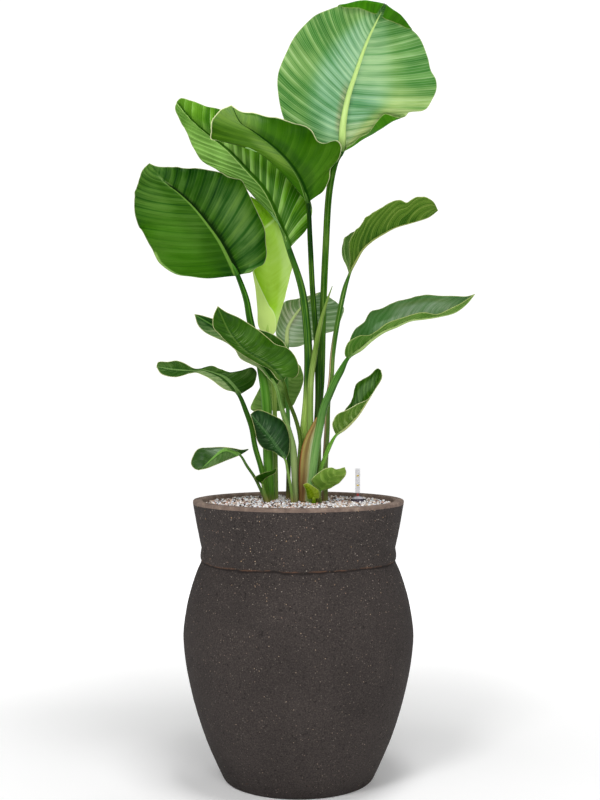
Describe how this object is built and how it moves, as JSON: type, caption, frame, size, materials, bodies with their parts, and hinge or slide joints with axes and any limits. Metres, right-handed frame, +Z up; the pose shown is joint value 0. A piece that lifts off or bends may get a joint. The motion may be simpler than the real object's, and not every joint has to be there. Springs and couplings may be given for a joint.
{
  "type": "potted bird of paradise plant",
  "caption": "Bird of paradise plant with broad stalked leaves in a rough jar-shaped planter filled with mineral granules, with a water gauge whose float slides.",
  "frame": {"origin": "centre of the planter's base, on the floor", "axes": "+Z up along the planter's axis, +Y away from the viewer, +X to the viewer's right, where the gauge is"},
  "size_m": [0.6677, 0.448, 1.4872],
  "materials": {
    "planter": "rough, speckled",
    "granules": "mineral grains",
    "roots": "fibrous",
    "gauge_dark": "satin",
    "gauge_clear": "clear",
    "gauge_float": "foam",
    "gauge_tip": "gloss",
    "leaf_green": "glossy upper face",
    "leaf_underside": "dull, bluish green",
    "leaf_light": "glossy, light green"
  },
  "bodies": {
    "planter": {"planter": "planter", "granule_fill": "granules", "root_ball": "roots", "gauge_pipe": "gauge_dark", "gauge_sight_tube": "gauge_clear", "leaf_crown": "leaf_underside", "leaf_back_left": "leaf_green", "leaf_arching": "leaf_green", "leaf_left_broad": "leaf_green", "leaf_lime_rolled": "leaf_light", "leaf_behind": "leaf_underside", "leaf_front_left": "leaf_green", "leaf_under_left": "leaf_green", "leaf_twisted_left": "leaf_green", "leaf_small_dark": "leaf_green", "leaf_lowest_left": "leaf_green", "leaf_tiny_left": "leaf_green", "leaf_upper_right": "leaf_green", "leaf_long_right": "leaf_green", "leaf_lower_right": "leaf_green", "leaf_young_right": "leaf_light", "leaf_young_front": "leaf_light", "leaf_far_back": "leaf_green", "leaf_spear": "leaf_light"},
    "float": {"gauge_float": "gauge_float", "gauge_float_tip": "gauge_tip"}
  },
  "joints": [
    {"name": "float_slide", "type": "slide", "parent": "planter", "child": "float", "axis": [0, 0, 1], "range_m": [0, 0.04]}
  ]
}
